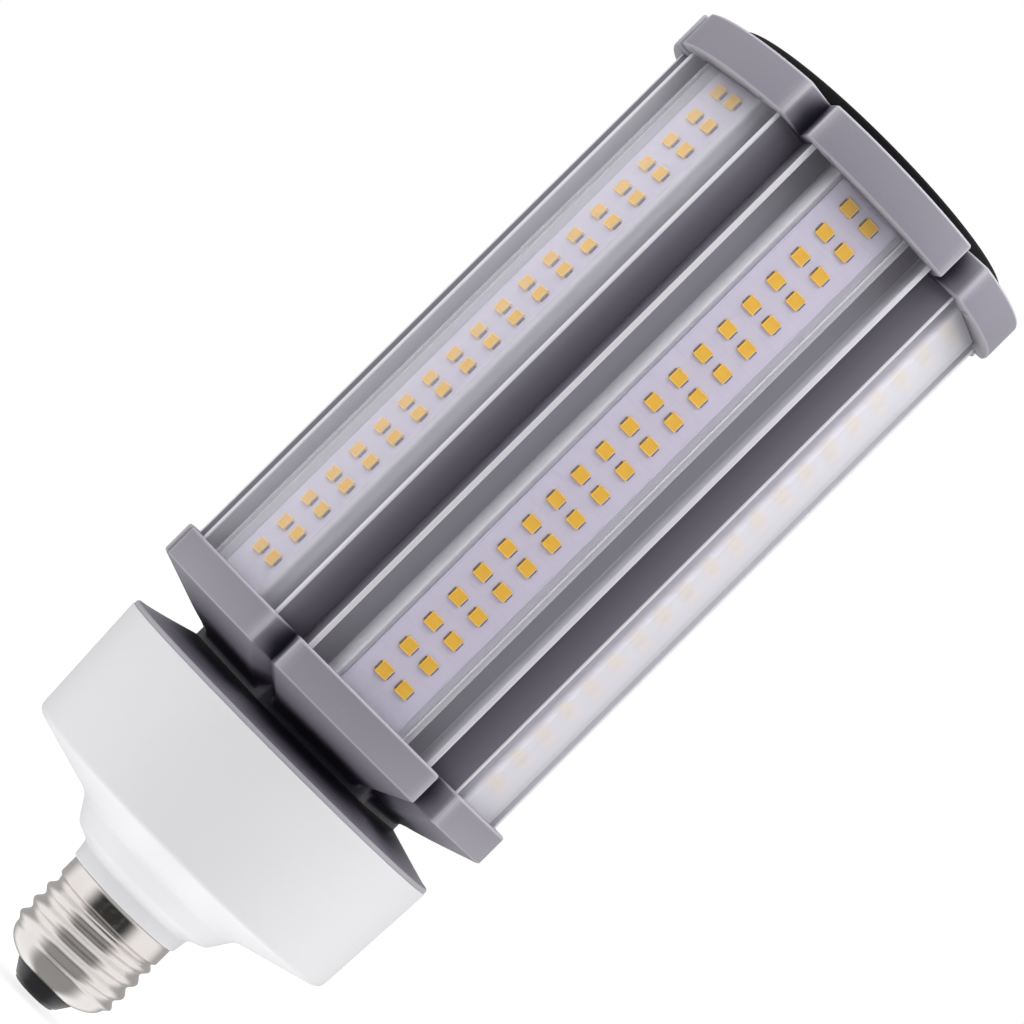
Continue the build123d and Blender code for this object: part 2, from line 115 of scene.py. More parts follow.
def loops_mesh(name, loops, smooth_angle=35):
    """Closed solid from rings of equal count, each joined to the next and the last to the first."""
    count = len(loops[0])
    points = [point for loop in loops for point in loop]
    faces = []
    for row in range(len(loops)):
        below = row * count
        above = (row + 1) % len(loops) * count
        for step in range(count):
            beside = (step + 1) % count
            faces.append((below + step, below + beside, above + beside, above + step))
    return finish_mesh(name, points, faces, smooth_angle)


def add_piece(mesh, nodes, material=None):
    """Puts a mesh in the scene as a piece that stands for CAD nodes; it may have its material already."""
    piece = bpy.data.objects.new(mesh.name, mesh)
    scene.collection.objects.link(piece)
    if material is not None:
        mesh.materials.append(material)
    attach(piece, "root")
    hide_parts(*nodes)


def colour(red, green, blue):
    """Linear colour from the 0 to 255 numbers that a picture shows."""
    linear = []
    for part in (red, green, blue):
        share = part / 255
        linear.append(share / 12.92 if share <= 0.04045 else ((share + 0.055) / 1.055) ** 2.4)
    return (*linear, 1.0)


def add_node(tree, kind, inputs=None, **settings):
    """Adds a node with its settings, and links or sets its inputs."""
    made = tree.nodes.new(kind)
    for key, value in settings.items():
        setattr(made, key, value)
    for key, value in (inputs or {}).items():
        if isinstance(value, bpy.types.NodeSocket):
            tree.links.new(value, made.inputs[key])
        else:
            made.inputs[key].default_value = value
    return made


def feed(node, **sources):
    """Links sources to a node's inputs by their names."""
    for label, source in sources.items():
        node.id_data.links.new(source, node.inputs[label.replace("_", " ")])


def calc(tree, operation, first, second):
    """Sum, product or comparison of two values."""
    return add_node(tree, "ShaderNodeMath", {0: first, 1: second}, operation=operation).outputs[0]


def spread(tree, value, low, high, start=0.0, end=1.0):
    """Number that goes from low to high as the value goes from start to end."""
    return add_node(tree, "ShaderNodeMapRange", {0: value, 1: start, 2: end, 3: low, 4: high}).outputs[0]


def tint(tree, mask, first, second):
    """Colour that goes from first to second as the mask goes from 0 to 1."""
    return add_node(tree, "ShaderNodeMix", {0: mask, 6: first, 7: second}, data_type="RGBA").outputs[2]


def add_bump(tree, shader, height, distance):
    """Small relief from a height that changes over the surface."""
    bump = add_node(tree, "ShaderNodeBump", {"Height": height, "Distance": distance})
    feed(shader, Normal=bump.outputs[0])


def noise(tree, place, scale, detail):
    """Cloudy pattern of a given scale at a place."""
    inputs = {"Vector": place, "Scale": scale, "Detail": detail}
    return add_node(tree, "ShaderNodeTexNoise", inputs).outputs[0]


def new_group(name, inputs, outputs):
    """Shader group with named value inputs and outputs; gives its ends and the place on the object too."""
    group = bpy.data.node_groups.new(name, "ShaderNodeTree")
    for label, value in inputs.items():
        socket = group.interface.new_socket(label, in_out="INPUT", socket_type="NodeSocketFloat")
        socket.default_value = value
    for label in outputs:
        group.interface.new_socket(label, in_out="OUTPUT", socket_type="NodeSocketFloat")
    given = group.nodes.new("NodeGroupInput").outputs
    place = group.nodes.new("ShaderNodeTexCoord").outputs["Object"]
    return group, given, group.nodes.new("NodeGroupOutput"), place


def new_material(name, **constants):
    """Material with one Principled shader, its constant numbers set on the shader itself."""
    material = bpy.data.materials.new(name)
    material.use_nodes = True
    shader = material.node_tree.nodes["Principled BSDF"]
    for label, value in constants.items():
        shader.inputs[label.replace("_", " ")].default_value = value
    return material, material.node_tree, shader


def use_group(tree, group, **values):
    """Places a shader group in a material with its own numbers, and gives its outputs."""
    made = add_node(tree, "ShaderNodeGroup", node_tree=group)
    for label, value in values.items():
        made.inputs[label].default_value = value
    return made.outputs


handling_marks, marks_in, marks_out, marks_place = new_group(
    "handling_marks", {"Scale": 400.0, "Amount": 0.5}, ("Scuff", "Cloud"))
marks_cloud = noise(handling_marks, marks_place, marks_in["Scale"], 5.0)
marks_fine = calc(handling_marks, "MULTIPLY", marks_in["Scale"], 5.0)
marks_specks = noise(handling_marks, marks_place, marks_fine, 2.0)
marks_scuff = spread(handling_marks, marks_specks, 0.0, marks_in["Amount"], 0.5, 0.72)
feed(marks_out, Scuff=marks_scuff, Cloud=marks_cloud)


def handled_finish(name, dark, light, rough, scale, amount, relief=None, **constants):
    """Finish with a cloudy tone from dark to light that is rougher where handling has scuffed it."""
    material, tree, shader = new_material(name, **constants)
    marks = use_group(tree, handling_marks, Scale=scale, Amount=amount)
    feed(shader, Base_Color=tint(tree, marks["Cloud"], dark, light),
         Roughness=spread(tree, marks["Scuff"], *rough))
    if relief is not None:
        add_bump(tree, shader, marks["Cloud"], relief)
    return material


nickel = handled_finish("nickel_plate", colour(214, 208, 205), colour(230, 226, 223), rough=(0.16, 0.28),
                        scale=160.0, amount=0.6, Metallic=1.0)
shell_loops = [
    ring(thread_root - shell_wall, 0.0),
    ring(skirt_radius - skirt_edge, 0.0),
    ring(skirt_radius, -skirt_edge),
    ring(skirt_radius, -skirt_hold),
]
for row in range(thread_rows + 1):
    height = thread_start + (nose_top - thread_start) * row / thread_rows
    loop = []
    for step in range(TURN_STEPS):
        angle = tau * step / TURN_STEPS
        radius = shell_radius(height, angle)
        loop.append((radius * cos(angle), radius * sin(angle), height))
    shell_loops.append(loop)
inner_root = (thread_root - shell_wall, nose_top)
inner_bend = (nose_bend[0] - shell_wall, nose_bend[1] + shell_wall)
inner_foot = (nose_foot[0] - shell_wall, nose_foot[1])
nose_outside = bend((thread_root, nose_top), nose_bend, nose_foot, 10)[1:]
nose_inside = bend(inner_foot, inner_bend, inner_root, 6)
shell_loops += [ring(radius, height) for radius, height in nose_outside + nose_inside]
add_piece(loops_mesh("screw_shell_rolled", shell_loops, 50), ["screw_shell"], nickel)

# Insulator: pressed black glass, a short cone with soft edges that closes the shell's nose.
# The hole through its middle takes the contact's rivet.
insulator_foot = -24.2
insulator_tip_radius = 5.2
insulator_gap = 0.1
insulator_plug_radius = nose_foot[0] - shell_wall - insulator_gap
insulator_plug_top = -18.5
rivet_hole = 1.3


def soft_corners(rows, steps=4, most=0.48):
    """Closed outline with round corners; a row is a corner and how far from it, at most, its curve starts."""
    corners = [Vector(row[:2]) for row in rows]
    outline = []
    for index, (first, second, cut) in enumerate(rows):
        if cut == 0:
            outline.append((first, second))
            continue
        corner = corners[index]
        to_last = corners[index - 1] - corner
        to_next = corners[(index + 1) % len(rows)] - corner
        start = corner + to_last.normalized() * min(cut, most * to_last.length)
        end = corner + to_next.normalized() * min(cut, most * to_next.length)
        outline += bend(start, corner, end, steps)
    return outline


def turned_mesh(name, rows, smooth_angle=35, steps=4, turns=TURN_STEPS):
    """Solid turned about the axis from the rows of its closed outline: radius, height and corner."""
    loops = [ring(radius, height, turns) for radius, height in soft_corners(rows, steps)]
    return loops_mesh(name, loops, smooth_angle)


insulator_black = handled_finish("black_glass", colour(16, 16, 20), colour(34, 34, 40), rough=(0.22, 0.42),
                                 scale=300.0, amount=0.7, relief=0.00004, Specular_IOR_Level=0.5)
insulator_outline = [
    (rivet_hole, insulator_foot, 0),
    (insulator_tip_radius, insulator_foot, 0.5),
    (nose_foot[0] - insulator_gap, nose_foot[1], 0.3),
    (insulator_plug_radius, nose_foot[1], 0),
    (insulator_plug_radius, insulator_plug_top, 0),
    (rivet_hole, insulator_plug_top, 0),
]
insulator_mesh = turned_mesh("insulator_glass", insulator_outline)
add_piece(insulator_mesh, ["base_insulator"], insulator_black)

# Centre contact: stamped disc, slightly dished, with its rivet through the glass.
# The solder that joins the lead to it leaves a low blob in the middle.
contact_tip = -24.9
contact_radius = 4.9
contact_edge = 0.45
contact_rim_width = 0.5
contact_rim_depth = 0.12
solder_radius = 1.6
dish_radius = 2.3
dish_depth = 0.22
rivet_radius = 1.2
rivet_top = -17.5
# Its brass gets a dark tone: painted shade that stands in for the shadow the disc lies in.
contact_metal = handled_finish("contact_brass", colour(70, 67, 64), colour(112, 108, 104), rough=(0.3, 0.55),
                               scale=350.0, amount=1.0, Metallic=1.0)
contact_outline = [
    (0, contact_tip, 0),
    (solder_radius, contact_tip, 0.4),
    (dish_radius, contact_tip + dish_depth, 0.4),
    (contact_radius - contact_rim_width, contact_tip + contact_rim_depth, 0.3),
    (contact_radius, contact_tip + contact_edge, 0.2),
    (contact_radius, insulator_foot, 0),
    (rivet_radius, insulator_foot, 0),
    (rivet_radius, rivet_top, 0.2),
    (0, rivet_top, 0),
]
contact_mesh = turned_mesh("contact_disc", contact_outline)
add_piece(contact_mesh, ["centre_contact"], contact_metal)

# Driver housing: one white moulding, a drum on a stepped cone with a thin collar above the shell.
# Its spigot goes into the shell, and three bosses inside carry the driver board.
collar_foot_radius = 13.4
collar_radius = 13.9
collar_top = 3.6
shoulder = (17.4, 5.0)
cone_top = (20.7, 10.1)
drum_foot = (38.4, 15.2)
drum_rim = (39.9, 42.3)
drum_wall = 2.0
drum_floor = 17.2
drum_floor_inside = 36.51
spigot_radius = 11.33
spigot_foot = -12.0
boss_circle = 29.0
boss_radius = 3.0
boss_top = 20.2
boss_root = drum_floor - 0.5
boss_angles = (30, 150, 270)
screw_hole = 1.2
# The next three numbers set how far the painted shade in recesses reaches, how open a place must be to escape
# it, and the pointiness at which the painted highlight on edges starts.
painted_shade_reach = 6.0
painted_shade_openness = (0.5, 0.95)
painted_highlight_sharpness = (0.517, 0.53)

moulded_skin, skin_in, skin_out, skin_place = new_group(
    "moulded_skin", {"Grain": 2500.0, "Flow": 40.0}, ("Height", "Cloud"))
feed(skin_out, Height=noise(moulded_skin, skin_place, skin_in["Grain"], 2.0),
     Cloud=noise(moulded_skin, skin_place, skin_in["Flow"], 3.0))


def moulded_plastic(name, dark, light, rough, grain, depth, recess, edge, shine=0.4):
    """Moulded plastic: eroded grain and faint flow marks, with painted shade in its recesses and a painted
    highlight on its edges.
    """
    material, tree, shader = new_material(name, Specular_IOR_Level=shine)
    skin = use_group(tree, moulded_skin, Grain=grain)
    marks = use_group(tree, handling_marks, Scale=120.0, Amount=0.5)
    # Ambient occlusion mixes the colour towards the recess colour: painted shade in recesses and between
    # parts.
    opening = add_node(tree, "ShaderNodeAmbientOcclusion", {"Distance": painted_shade_reach * MM}, samples=6)
    unshaded_share = spread(tree, opening.outputs["AO"], 0.0, 1.0, *painted_shade_openness)
    # Pointiness mixes the colour towards the edge colour on rounded edges: a painted highlight.
    sharpness = tree.nodes.new("ShaderNodeNewGeometry").outputs["Pointiness"]
    skin_tone = tint(tree, skin["Cloud"], dark, light)
    highlighted_tone = tint(tree, spread(tree, sharpness, 0.0, 1.0, *painted_highlight_sharpness), skin_tone, edge)
    feed(shader, Base_Color=tint(tree, unshaded_share, recess, highlighted_tone),
         Roughness=spread(tree, marks["Scuff"], *rough))
    add_bump(tree, shader, skin["Height"], depth)
    return material


def join_meshes(first, second):
    """Adds the second mesh to the first."""
    work = bmesh.new()
    work.from_mesh(first)
    work.from_mesh(second)
    work.to_mesh(first)
    work.free()
    bpy.data.meshes.remove(second)


# Its recess colour is painted shade in the housing's hollows. Its edge colour equals the light tone, so its
# edges get no painted highlight.
housing_white = moulded_plastic("housing_white", colour(238, 238, 240), colour(244, 244, 246),
                                rough=(0.38, 0.5), grain=1800.0, depth=0.00002,
                                recess=colour(205, 205, 209), edge=colour(244, 244, 246))
housing_outline = [
    (collar_foot_radius, 0.0, 0.25),
    (collar_radius, collar_top, 0.8),
    (*shoulder, 1.0),
    (*cone_top, 1.6),
    (*drum_foot, 1.5),
    (*drum_rim, 0.5),
    (drum_rim[0] - drum_wall, drum_rim[1], 0.3),
    (drum_floor_inside, drum_floor, 1.0),
    (spigot_radius - drum_wall, drum_floor, 0.5),
    (spigot_radius - drum_wall, spigot_foot, 0),
    (spigot_radius, spigot_foot, 0),
    (spigot_radius, 0.0, 0),
]
boss_outline = [
    (screw_hole, boss_root, 0),
    (boss_radius, boss_root, 0),
    (boss_radius, boss_top, 0.3),
    (screw_hole, boss_top, 0),
]
housing_mesh = turned_mesh("driver_housing_moulded", housing_outline, 40, 5, 2 * TURN_STEPS)
for angle in boss_angles:
    boss = turned_mesh("boss", boss_outline, turns=24)
    outward = Matrix.Translation((boss_circle * MM, 0, 0))
    boss.transform(Matrix.Rotation(radians(angle), 4, "Z") @ outward)
    join_meshes(housing_mesh, boss)
add_piece(housing_mesh, ["driver_housing"], housing_white)

# Driver inside the drum: round circuit board on the bosses with three screws, a transformer,
# two electrolytic capacitors and a choke, and the leads to the base and to the strips.
# The rod and nut that clamp the caps have the same zinc finish as the screws.
inside_finishes = [
    ("circuit_board", ["driver_board"], colour(34, 84, 52), colour(52, 112, 70), (0.35, 0.5), 0.0),
    ("screw_zinc", ["driver_screws", "tie_rod", "tie_nut"],
     colour(150, 150, 148), colour(186, 186, 182), (0.3, 0.5), 1.0),
    ("ferrite_grey", ["transformer", "filter_choke"],
     colour(40, 40, 42), colour(66, 64, 62), (0.5, 0.7), 0.0),
    ("capacitor_sleeve", ["bulk_capacitors"], colour(24, 26, 34), colour(38, 40, 50), (0.3, 0.4), 0.0),
    ("lead_red", ["contact_lead"], colour(150, 24, 22), colour(178, 38, 34), (0.4, 0.5), 0.0),
    ("lead_tinned", ["shell_lead"], colour(168, 164, 158), colour(196, 192, 186), (0.3, 0.45), 1.0),
    ("lead_white", ["strip_leads"], colour(220, 220, 214), colour(236, 236, 230), (0.4, 0.5), 0.0),
]
for finish_name, node_names, dark, light, rough, metallic in inside_finishes:
    finish = handled_finish(finish_name, dark, light, rough, scale=250.0, amount=0.8, Metallic=metallic)
    for node_name in node_names:
        node_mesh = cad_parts[node_name].data
        node_mesh.materials.clear()
        node_mesh.materials.append(finish)

# Funnel cover: grey moulding in the caps' finish that snaps into the drum's rim with a thin lip left showing;
# the painted shade of that finish darkens it where the lower cap is close above.
# It runs up from its round foot to the six-sided neck with round corners.
STRIPS = 6
SECTOR_STEPS = 56
neck_apothem = 24.0
neck_round = 27.4
neck_inside = 21.8
funnel_top = 46.6
funnel_foot = 43.2
funnel_foot_radius = 39.0
funnel_web_foot = 44.6
funnel_lip_radius = 39.7
funnel_lip_edge = 0.3
funnel_skirt_radius = 37.8
funnel_skirt_foot = 37.3
funnel_skirt_foot_radius = 37.53
funnel_skirt_inside = 36.03
rod_hole = 2.2


def sector_loop(outline, height):
    """Level ring of six equal sectors; outline gives (outward, across) for -1 to 1 over a sector."""
    points = []
    for strip in range(STRIPS):
        turn = tau * strip / STRIPS - pi / 2
        for step in range(SECTOR_STEPS):
            outward, across = outline(2 * step / SECTOR_STEPS - 1)
            points.append((outward * cos(turn) - across * sin(turn),
                           outward * sin(turn) + across * cos(turn), height))
    return points


def round_outline(radius):
    """A circle, as an outline of one sector."""
    def outline(share):
        angle = share * pi / STRIPS
        return radius * cos(angle), radius * sin(angle)
    return outline


def round_loops(profile):
    """Rings of a turned profile of (radius, height), with as many points as the six-sided ones."""
    return [sector_loop(round_outline(radius), height) for radius, height in profile]


def soft_least(first, second, softness=0.3):
    """The smaller of two lengths, with the corner between them rounded."""
    least = min(first, second)
    past = exp((least - first) / softness) + exp((least - second) / softness)
    return least - softness * log(past)


def neck_radius(angle):
    """Distance of the six-sided neck from the axis, at an angle from the middle of a side."""
    return soft_least(neck_round, neck_apothem / cos(angle))


def funnel_outline(part):
    """Outline of the funnel's slope, from the six-sided neck at 0 to the round foot at 1."""
    def outline(share):
        angle = share * pi / STRIPS
        radius = neck_radius(angle) + (funnel_foot_radius - neck_radius(angle)) * part
        return radius * cos(angle), radius * sin(angle)
    return outline


# Its near-black recess colour is painted shade in the notches, the grooves and under the lower cap. Its light
# edge colour is a painted highlight on the rounded edges.
cap_grey = moulded_plastic("cap_grey", colour(136, 132, 144), colour(143, 139, 151),
                           rough=(0.38, 0.5), grain=1500.0, depth=0.00003,
                           recess=colour(42, 38, 52), edge=colour(182, 179, 187))
funnel_loops = round_loops([(rod_hole, funnel_top)])
for part in (0.0, 0.12, 0.3, 0.5, 0.7, 0.85, 0.95, 1.0):
    funnel_loops.append(sector_loop(funnel_outline(part), funnel_top + (funnel_foot - funnel_top) * part))
funnel_loops += round_loops([
    (funnel_lip_radius - funnel_lip_edge, funnel_foot),
    (funnel_lip_radius, funnel_foot - funnel_lip_edge),
    (funnel_lip_radius, drum_rim[1]),
    (funnel_skirt_radius, drum_rim[1]),
    (funnel_skirt_foot_radius, funnel_skirt_foot),
    (funnel_skirt_inside, funnel_skirt_foot),
    (neck_inside, funnel_web_foot),
    (rod_hole, funnel_web_foot),
])
add_piece(loops_mesh("funnel_cover_moulded", funnel_loops, 40), ["funnel_cover"], cap_grey)

# Lower cap: grey moulding with an arched block for each strip, V notches between them and a pocket above.
# Each block slopes in to the neck that stands on the funnel cover, and the notches run on down the slope
# as grooves. The tie rod clamps it to the strips.
cap_radius = 43.08
cap_half_width = 18.5
cap_corner = 0.9
cap_least_corner = 0.2
cap_edge = 0.6
cap_web = 2.6
hub_bore = 22.0
flare_foot = 48.4
flare_edge = 0.35
flare_middle = (neck_round + cap_radius) / 2
flare_narrowing = neck_apothem / cap_radius
neck_bend = 0.9
lower_cap_foot = 53.8
lower_cap_top = 60.8
core_apothem = 27.0
pocket_depth = 5.7
pocket_half_width = 16.5
pocket_fin_face = 37.41
pocket_cover_face = 38.2
pocket_cover_half_width = 10.4


def block_half(radius, flat, half_width, corner):
    """Half of a block's outline from the notch to its middle, as (outward, across)."""
    wall_steps, corner_steps = 8, 5
    apex = half_width / tan(pi / STRIPS)
    reach = soft_least(radius, flat / cos(asin(half_width / radius)))
    centre_across = half_width - corner
    centre_out = sqrt((reach - corner) ** 2 - centre_across ** 2)
    touch = atan2(centre_across, centre_out)
    points = []
    for step in range(wall_steps + 1):
        points.append((apex + (centre_out - apex) * step / wall_steps, half_width))
    for step in range(1, corner_steps + 1):
        angle = pi / 2 + (touch - pi / 2) * step / corner_steps
        points.append((centre_out + corner * cos(angle), centre_across + corner * sin(angle)))
    face_steps = SECTOR_STEPS // 2 - wall_steps - corner_steps
    for step in range(1, face_steps + 1):
        angle = touch * (1 - step / face_steps)
        distance = soft_least(radius, flat / cos(angle))
        points.append((distance * cos(angle), distance * sin(angle)))
    return points


def half_outline(points):
    """Outline of a sector from half of it, mirrored; the half runs from the notch to the middle."""
    steps = len(points) - 1

    def outline(share):
        outward, across = points[round((1 - abs(share)) * steps)]
        return outward, copysign(across, share)
    return outline


def flare_loop(part):
    """Level ring of the sloping underside, from the neck at 0 to the foot of the blocks at 1."""
    share = flare_narrowing + (1 - flare_narrowing) * part
    radius = neck_round + (cap_radius - neck_round) * part
    flat = neck_apothem + 2 * (flare_middle - neck_apothem) * part
    points = []
    for outward, across in block_half(radius, flat, cap_half_width * share, cap_corner * share):
        stretch = max(1.0, neck_radius(atan2(across, outward)) / hypot(outward, across))
        points.append((outward * stretch, across * stretch))
    return sector_loop(half_outline(points), flare_foot + (lower_cap_foot - flare_foot) * part)


def neck_loop(level):
    """Level ring of the neck that the flare stands on."""
    return [(x, y, level) for x, y, height in flare_loop(0.0)]


def cap_loop(inset, level):
    """Level ring of the caps' outline, moved in by inset."""
    corner = max(cap_corner - inset, cap_least_corner)
    radius = cap_radius - inset
    return sector_loop(half_outline(block_half(radius, 2 * radius, cap_half_width - inset, corner)), level)


def rounded_loops(before, corner, after, steps=4):
    """Rings that round an edge: they leave the ring before it and come to the ring after it."""
    rows = [bend(*points, steps) for points in zip(before, corner, after)]
    return [list(loop) for loop in zip(*rows)]


def cap_edge_loops(level, rise):
    """Rings over a cap's edge, from its wall to the flat at that level; rise is 1 for a top edge."""
    wall = cap_loop(0.0, level - rise * cap_edge)
    return rounded_loops(wall, cap_loop(0.0, level), cap_loop(cap_edge, level))


def pocket_half():
    """Half of the pocket's outline, with as many points as the cap's own outline has."""
    corners = [
        (pocket_half_width / tan(pi / STRIPS), pocket_half_width),
        (pocket_fin_face, pocket_half_width),
        (pocket_fin_face, pocket_cover_half_width),
        (pocket_cover_face, pocket_cover_half_width),
        (pocket_cover_face, 0.0),
    ]
    counts = [9, 6, 2]
    counts.append(SECTOR_STEPS // 2 - sum(counts))
    points = [corners[0]]
    for start, end, steps in zip(corners, corners[1:], counts):
        for step in range(1, steps + 1):
            points.append(tuple(a + (b - a) * step / steps for a, b in zip(start, end)))
    return points


def core_outline(share):
    """Side of the six-sided core inside the pockets, as an outline of one sector."""
    return core_apothem, core_apothem * tan(pi / STRIPS) * share


def pocket_loops(mouth, floor):
    """Rings of the pocket from its mouth down its outer wall, over its floor and up the core."""
    outer = half_outline(pocket_half())
    return [sector_loop(outer, mouth), sector_loop(outer, floor),
            sector_loop(core_outline, floor), sector_loop(core_outline, mouth)]


lower_loops = round_loops([(neck_inside, funnel_top)])
lower_loops.append(neck_loop(funnel_top))
lower_loops += rounded_loops(neck_loop(flare_foot - neck_bend), flare_loop(0.0), flare_loop(0.16))
lower_loops += [flare_loop(part) for part in (0.25, 0.36, 0.5, 0.64, 0.78, 0.9)]
lower_loops += rounded_loops(flare_loop(0.96), flare_loop(1.0), cap_loop(0.0, lower_cap_foot + flare_edge))
lower_loops += cap_edge_loops(lower_cap_top, 1)
lower_loops += pocket_loops(lower_cap_top, lower_cap_top - pocket_depth)
lower_loops += round_loops([
    (hub_bore, lower_cap_top),
    (hub_bore, lower_cap_foot + cap_web),
    (rod_hole, lower_cap_foot + cap_web),
    (rod_hole, lower_cap_foot),
    (neck_inside, lower_cap_foot),
])
add_piece(loops_mesh("lower_cap_moulded", lower_loops, 40), ["lower_cap"], cap_grey)

# Aluminium strips: extruded and anodised, two thin fins and a hollow pedestal for the LED board.
# Six stand in a ring, mitred at the feet, so the outer sides of the fins make V grooves. Painted shade makes
# the grooves' sides and the trough floors darker and less metallic.
strip_bottom = 55.1
strip_top = 198.6
strip_foot = 28.606
strip_root = (27.106, 15.534)
strip_half_width = 16.4
fin_tip = 37.306
fin_inside = 15.2
pedestal_half_width = 8.4
flange_foot = 32.506
flange_half_width = 9.1
board_seat = 34.406
chamber_half_width = 6.9
trough_shade = 0.6
tip_margin = 0.3
side_margin = 0.1
strip_section = [
    (*strip_root, 0.1),
    (strip_foot, strip_half_width, 0.2),
    (fin_tip, strip_half_width, 0.4),
    (fin_tip, fin_inside, 0.4),
    (strip_foot, fin_inside, 0.6),
    (strip_foot, pedestal_half_width, 0.3),
    (flange_foot, pedestal_half_width, 0.15),
    (flange_foot, flange_half_width, 0.15),
    (board_seat, flange_half_width, 0.15),
]
chamber_section = [(strip_foot, chamber_half_width, 0), (flange_foot, chamber_half_width, 0)]


def both_halves(half, steps=4):
    """Closed outline of (outward, across) with round corners, from the rows of its half."""
    return soft_corners(half + [(outward, -across, cut) for outward, across, cut in reversed(half)], steps)


def extruded_mesh(name, outline, hole=None, smooth_angle=30):
    """Length of a section in front of the axis, from cap to cap, closed at both ends."""
    rings = [outline] + ([hole] if hole else [])
    flat = [point for loop in rings for point in loop]
    count = len(flat)
    points = [(-across, -outward, strip_bottom) for outward, across in flat]
    points += [(-across, -outward, strip_top) for outward, across in flat]
    faces = []
    start = 0
    for loop in rings:
        for step in range(len(loop)):
            here = start + step
            beside = start + (step + 1) % len(loop)
            faces.append((here, beside, beside + count, here + count))
        start += len(loop)
    for triangle in tessellate_polygon([[Vector((x, y, 0)) for x, y in loop] for loop in rings]):
        faces.append(tuple(triangle))
        faces.append(tuple(index + count for index in triangle))
    return finish_mesh(name, points, faces, smooth_angle)


def new_tree(name, **inputs):
    """Geometry Nodes tree with a mesh going in and out, named inputs of given kinds and a finish."""
    tree = bpy.data.node_groups.new(name, "GeometryNodeTree")
    for way in ("INPUT", "OUTPUT"):
        tree.interface.new_socket("Geometry", in_out=way, socket_type="NodeSocketGeometry")
    sockets = {}
    for label, kind in {**inputs, "Finish": "Material"}.items():
        socket = tree.interface.new_socket(label, in_out="INPUT", socket_type="NodeSocket" + kind)
        sockets[label] = socket.identifier
    return tree, sockets, tree.nodes.new("NodeGroupInput").outputs


def end_tree(tree, given, copies):
    """Ends a tree: the copies become plain geometry that has the finish."""
    real = add_node(tree, "GeometryNodeRealizeInstances", {"Geometry": copies.outputs[0]})
    finished = add_node(tree, "GeometryNodeSetMaterial", {
        "Geometry": real.outputs[0], "Material": given["Finish"]})
    feed(tree.nodes.new("NodeGroupOutput"), Geometry=finished.outputs[0])


def run_tree(name, mesh, tree, sockets, **values):
    """Runs a Geometry Nodes tree on a mesh and gives the result back as a plain mesh."""
    holder = bpy.data.objects.new(name + "_source", mesh)
    scene.collection.objects.link(holder)
    modifier = holder.modifiers.new(name, "NODES")
    modifier.node_group = tree
    for label, value in values.items():
        modifier[sockets[label]] = value
    bpy.context.view_layer.update()
    evaluated = holder.evaluated_get(bpy.context.evaluated_depsgraph_get())
    made = bpy.data.meshes.new_from_object(evaluated)
    made.name = name
    bpy.data.objects.remove(holder)
    return made


def add_around(name, mesh, material, node):
    """Adds a piece that repeats the front strip's mesh about the axis, for the node of every strip."""
    tree, sockets, given = new_tree(name + "_ring", Count="Int")
    line = add_node(tree, "GeometryNodeMeshLine", {"Count": given["Count"], "Offset": (0.0, 0.0, 0.0)})
    index = tree.nodes.new("GeometryNodeInputIndex").outputs[0]
    turn = calc(tree, "MULTIPLY", index, calc(tree, "DIVIDE", tau, given["Count"]))
    angles = add_node(tree, "ShaderNodeCombineXYZ", {"Z": turn})
    copies = add_node(tree, "GeometryNodeInstanceOnPoints", {
        "Points": line.outputs[0], "Instance": given["Geometry"], "Rotation": angles.outputs[0]})
    end_tree(tree, given, copies)
    made = run_tree(name, mesh, tree, sockets, Count=STRIPS, Finish=material)
    add_piece(made, [f"{node}_{number}" for number in range(1, STRIPS + 1)])


def painted(tree, name):
    """Mask that the mesh itself holds as an attribute."""
    return add_node(tree, "ShaderNodeAttribute", attribute_name=name).outputs["Fac"]


drawn_lines, lines_in, lines_out, lines_place = new_group(
    "drawn_lines", {"Across": 3000.0, "Along": 6.0}, ("Lines", "Bands"))
lines_split = add_node(drawn_lines, "ShaderNodeSeparateXYZ", {0: lines_place})
lines_join = drawn_lines.nodes.new("ShaderNodeCombineXYZ")
for axis, label in zip("XYZ", ("Across", "Across", "Along")):
    stretched = calc(drawn_lines, "MULTIPLY", lines_split.outputs[axis], lines_in[label])
    feed(lines_join, **{axis: stretched})
feed(lines_out, Lines=noise(drawn_lines, lines_join.outputs[0], 1.0, 2.0),
     Bands=noise(drawn_lines, lines_join.outputs[0], 0.12, 1.0))

aluminium, aluminium_tree, aluminium_shader = new_material("anodised_aluminium")
aluminium_lines = use_group(aluminium_tree, drawn_lines, Across=2500.0, Along=8.0)
aluminium_bands = aluminium_lines["Bands"]
# The groove attribute darkens the colour and lowers the metal where shade falls: painted shade on the
# grooves' sides and the trough floors.
groove_shade_mask = painted(aluminium_tree, "groove_and_trough_shade")
bright_tone = tint(aluminium_tree, aluminium_bands, colour(222, 221, 226), colour(234, 233, 238))
groove_shade_tone = tint(aluminium_tree, aluminium_bands, colour(124, 120, 132), colour(136, 132, 144))
feed(aluminium_shader, Base_Color=tint(aluminium_tree, groove_shade_mask, bright_tone, groove_shade_tone),
     Metallic=spread(aluminium_tree, groove_shade_mask, 0.25, 0.1),
     Roughness=spread(aluminium_tree, aluminium_lines["Lines"], 0.4, 0.52))
add_bump(aluminium_tree, aluminium_shader, aluminium_lines["Lines"], 0.00001)

strip_mesh = extruded_mesh("aluminium_strip", both_halves(strip_section, 3), both_halves(chamber_section))
